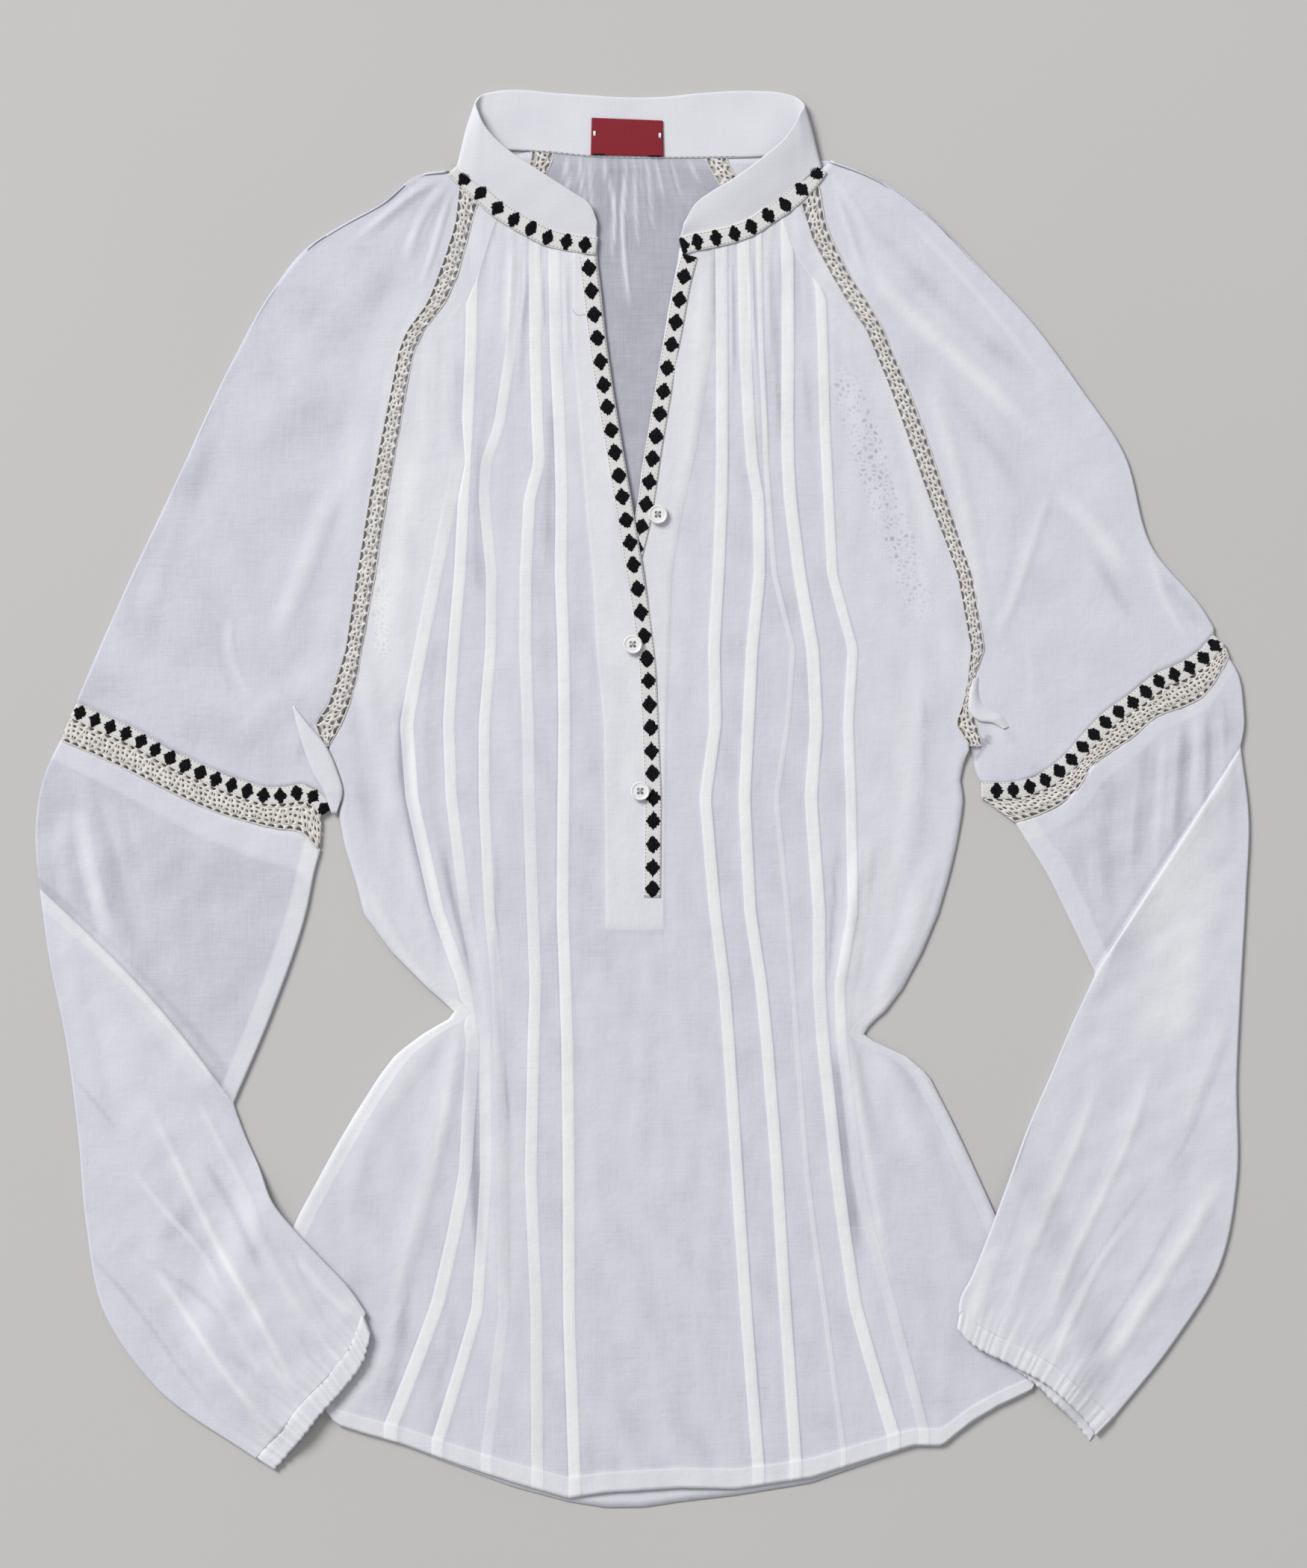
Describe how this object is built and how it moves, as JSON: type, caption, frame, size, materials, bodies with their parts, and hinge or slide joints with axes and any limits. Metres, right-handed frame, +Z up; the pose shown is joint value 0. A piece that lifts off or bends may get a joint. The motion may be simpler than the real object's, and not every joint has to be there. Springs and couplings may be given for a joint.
{
  "type": "laid-flat tunic blouse",
  "caption": "Sheer long-sleeved raglan tunic laid flat, with stand collar, slit placket, pressed tucks, patterned tape and lace insertions.",
  "frame": {"origin": "centre of the garment's outline, on the surface it lies on", "axes": "+Z up from the surface, +Y towards the collar, +X to the right as seen from above"},
  "size_m": [0.6495, 0.759, 0.0079],
  "materials": {
    "cloth": "sheer white cotton voile, fine plain weave",
    "band": "opaque white cotton collar band",
    "lace": "ecru cotton bobbin lace with a fan motif",
    "tape": "off-white woven tape with a row of black diamonds",
    "button": "pearly white plastic",
    "label": "plain red woven label"
  },
  "bodies": {
    "root": {"back_panel": "cloth", "front_panel": "cloth", "sleeve_upper_left": "cloth", "sleeve_upper_right": "cloth", "sleeve_lower_left": "cloth", "sleeve_lower_right": "cloth", "cuff_left": "cloth", "cuff_right": "cloth", "collar_band": "band", "raglan_lace_front_left": "lace", "raglan_lace_front_right": "lace", "raglan_lace_back_left": "lace", "raglan_lace_back_right": "lace", "elbow_lace_left": "lace", "elbow_lace_right": "lace", "elbow_tape_left": "tape", "elbow_tape_right": "tape", "neck_tape_left": "tape", "neck_tape_right": "tape", "placket_tape_left": "tape", "placket_tape_right": "tape", "button_1": "button", "button_2": "button", "button_3": "button", "neck_label": "label"}
  },
  "joints": []
}
